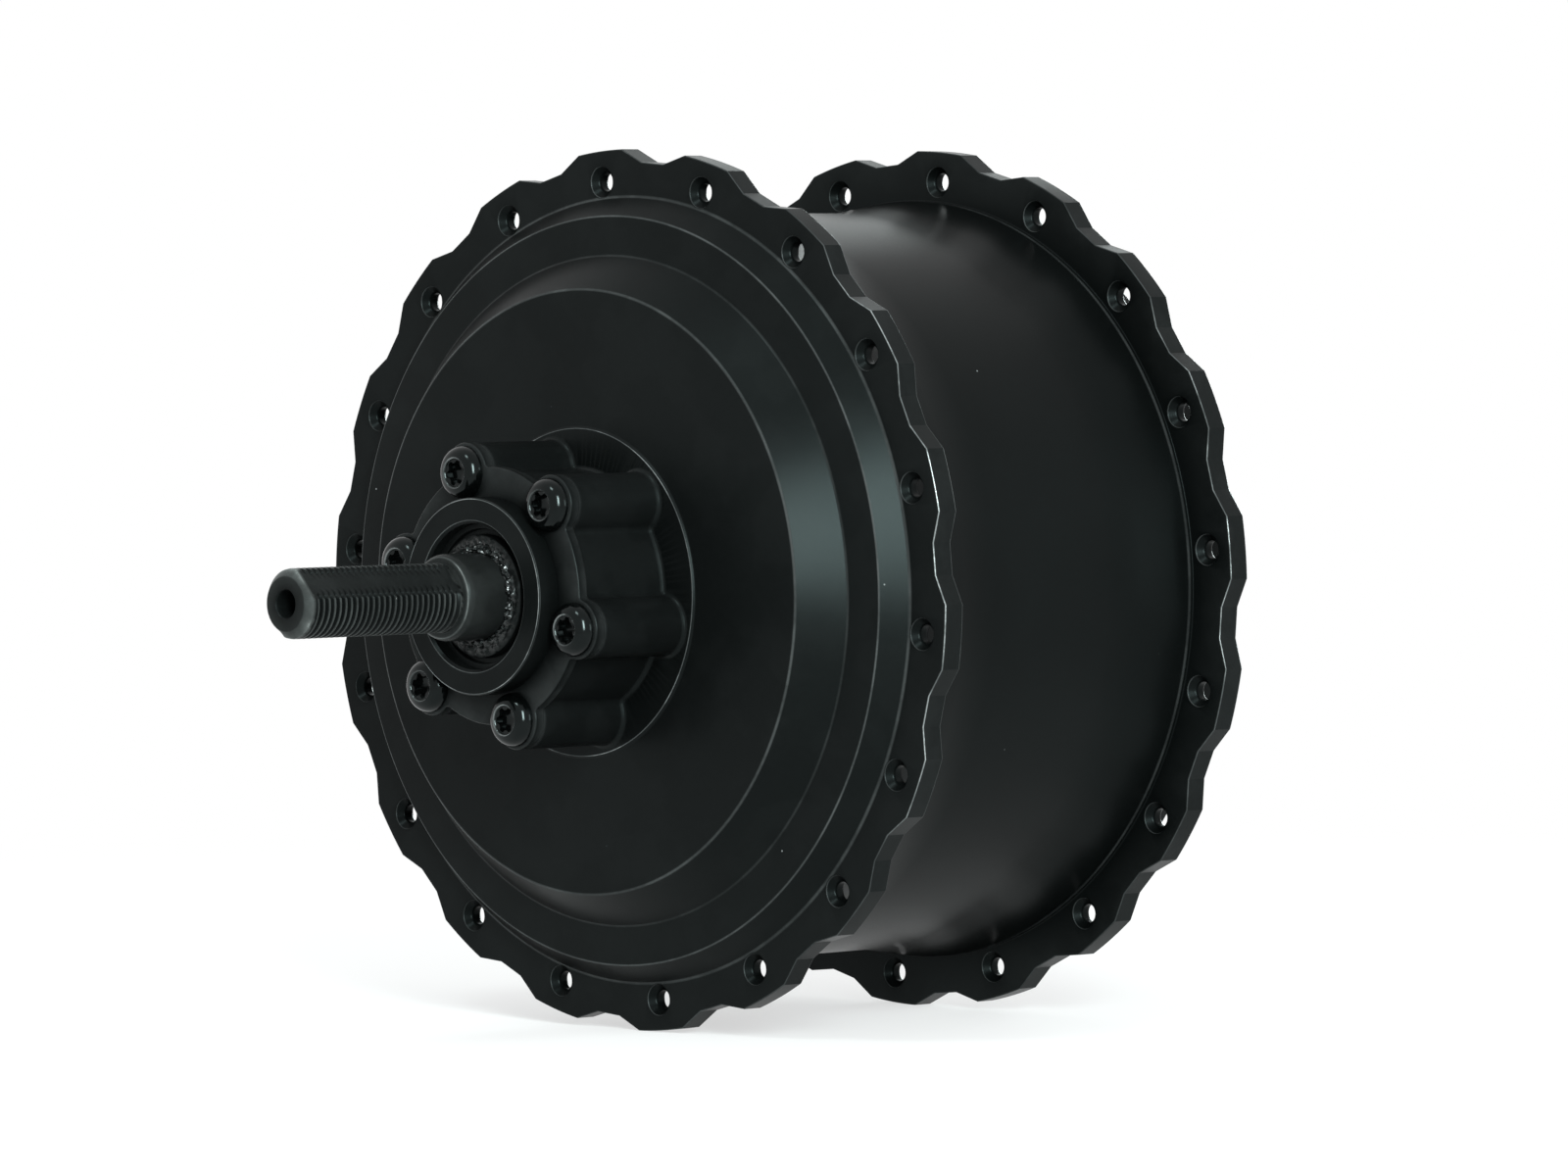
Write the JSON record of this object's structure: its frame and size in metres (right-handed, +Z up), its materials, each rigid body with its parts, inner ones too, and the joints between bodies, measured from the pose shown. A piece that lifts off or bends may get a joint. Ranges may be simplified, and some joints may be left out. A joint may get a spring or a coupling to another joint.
{
  "type": "geared hub motor",
  "caption": "Wide black geared hub motor for a fat tire bicycle's rear wheel, with lobed spoke flanges, a disc brake boss, a freewheel boss and a threaded axle with flats.",
  "frame": {"origin": "on the axle's axis, midway between its two shoulders, so in the middle of the frame", "axes": "+Y along the axle, from the disc brake side to the freewheel side; +Z up; the bicycle's forward direction is -X"},
  "size_m": [0.154, 0.2304, 0.154],
  "materials": {
    "coated_shell": "satin black powder coat with fine specks, bright worn edges",
    "blackened_steel": "dark phosphated and oiled steel",
    "black_oxide": "glossy black oxide",
    "zinc_steel": "dark plated steel",
    "seal_rubber": "matte black with a film of grease",
    "gasket_paper": "matte",
    "bearing_steel": "ground and polished",
    "machined_steel": "turned and milled",
    "bronze": "satin",
    "gear_nylon": "natural, greased",
    "cast_aluminium": "as cast, turned seats",
    "laminations": "stacked sheet steel",
    "magnet_plating": "nickel plated",
    "copper_enamel": "enamelled copper wire",
    "slot_plastic": "moulded nylon",
    "board": "solder mask",
    "sensor_body": "moulded",
    "lead_silicone": "silicone sheath"
  },
  "bodies": {
    "axle_assembly": {"axle": "blackened_steel", "stator_key": "machined_steel", "stator_hub": "cast_aluminium", "stator_core": "laminations", "slot_insulators": "slot_plastic", "coils": "copper_enamel", "hall_board": "board", "hall_sensors": "sensor_body", "phase_leads": "lead_silicone", "stator_circlip": "machined_steel", "left_bearing_inner_ring": "bearing_steel", "right_bearing_inner_ring": "bearing_steel", "rotor_left_inner_ring": "bearing_steel", "rotor_right_inner_ring": "bearing_steel", "clutch_key": "machined_steel", "clutch_inner_race": "machined_steel", "clutch_rollers": "machined_steel", "clutch_cage": "gear_nylon", "clutch_circlip": "machined_steel", "planet_carrier": "machined_steel", "carrier_front_plate": "machined_steel", "carrier_screws": "zinc_steel", "planet_pins": "machined_steel", "thrust_washers": "bronze"},
    "shell": {"hub_shell": "coated_shell", "disc_screws": "black_oxide", "left_seal": "seal_rubber", "ring_gear": "gear_nylon", "ring_gear_dowels": "machined_steel", "cover_gasket": "gasket_paper", "right_cover": "coated_shell", "cover_screws": "zinc_steel", "right_seal": "seal_rubber", "left_bearing_outer_ring": "bearing_steel", "right_bearing_outer_ring": "bearing_steel"},
    "rotor": {"rotor_can": "machined_steel", "rotor_magnets": "magnet_plating", "rotor_end_plate": "cast_aluminium", "rotor_back_plate": "cast_aluminium", "sun_gear": "machined_steel", "sun_gear_screws": "zinc_steel", "rotor_left_outer_ring": "bearing_steel", "rotor_right_outer_ring": "bearing_steel"},
    "planet_1": {"planet_gear_1": "gear_nylon", "planet_bush_1": "bronze"},
    "planet_2": {"planet_gear_2": "gear_nylon", "planet_bush_2": "bronze"},
    "planet_3": {"planet_gear_3": "gear_nylon", "planet_bush_3": "bronze"},
    "left_bearing_ball_set": {"left_bearing_balls": "bearing_steel"},
    "right_bearing_ball_set": {"right_bearing_balls": "bearing_steel"},
    "rotor_left_ball_set": {"rotor_left_balls": "bearing_steel"},
    "rotor_right_ball_set": {"rotor_right_balls": "bearing_steel"}
  },
  "joints": [
    {"name": "shell_spin", "type": "hinge", "parent": "axle_assembly", "child": "shell", "pos_m": [0, 0, 0], "axis": [0, 1, 0], "continuous": true},
    {"name": "rotor_spin", "type": "hinge", "parent": "axle_assembly", "child": "rotor", "pos_m": [0, 0, 0], "axis": [0, 1, 0], "continuous": true},
    {"name": "planet_1_spin", "type": "hinge", "parent": "axle_assembly", "child": "planet_1", "pos_m": [0, 0.02015, 0.03375], "axis": [0, 1, 0], "continuous": true},
    {"name": "planet_2_spin", "type": "hinge", "parent": "axle_assembly", "child": "planet_2", "pos_m": [-0.02923, 0.02015, -0.01688], "axis": [0, 1, 0], "continuous": true},
    {"name": "planet_3_spin", "type": "hinge", "parent": "axle_assembly", "child": "planet_3", "pos_m": [0.02923, 0.02015, -0.01688], "axis": [0, 1, 0], "continuous": true},
    {"name": "left_bearing_ball_spin", "type": "hinge", "parent": "axle_assembly", "child": "left_bearing_ball_set", "pos_m": [0, 0, 0], "axis": [0, 1, 0], "continuous": true},
    {"name": "right_bearing_ball_spin", "type": "hinge", "parent": "axle_assembly", "child": "right_bearing_ball_set", "pos_m": [0, 0, 0], "axis": [0, 1, 0], "continuous": true},
    {"name": "rotor_left_ball_spin", "type": "hinge", "parent": "axle_assembly", "child": "rotor_left_ball_set", "pos_m": [0, 0, 0], "axis": [0, 1, 0], "continuous": true},
    {"name": "rotor_right_ball_spin", "type": "hinge", "parent": "axle_assembly", "child": "rotor_right_ball_set", "pos_m": [0, 0, 0], "axis": [0, 1, 0], "continuous": true}
  ],
  "couplings": [
    {"joint": "rotor_spin", "follows": "shell_spin", "ratio": -4.625},
    {"joint": "planet_1_spin", "follows": "shell_spin", "ratio": 2.5517},
    {"joint": "planet_2_spin", "follows": "shell_spin", "ratio": 2.5517},
    {"joint": "planet_3_spin", "follows": "shell_spin", "ratio": 2.5517},
    {"joint": "left_bearing_ball_spin", "follows": "shell_spin", "ratio": 0.60489},
    {"joint": "right_bearing_ball_spin", "follows": "shell_spin", "ratio": 0.60489},
    {"joint": "rotor_left_ball_spin", "follows": "shell_spin", "ratio": -2.6835},
    {"joint": "rotor_right_ball_spin", "follows": "shell_spin", "ratio": -2.6835}
  ]
}
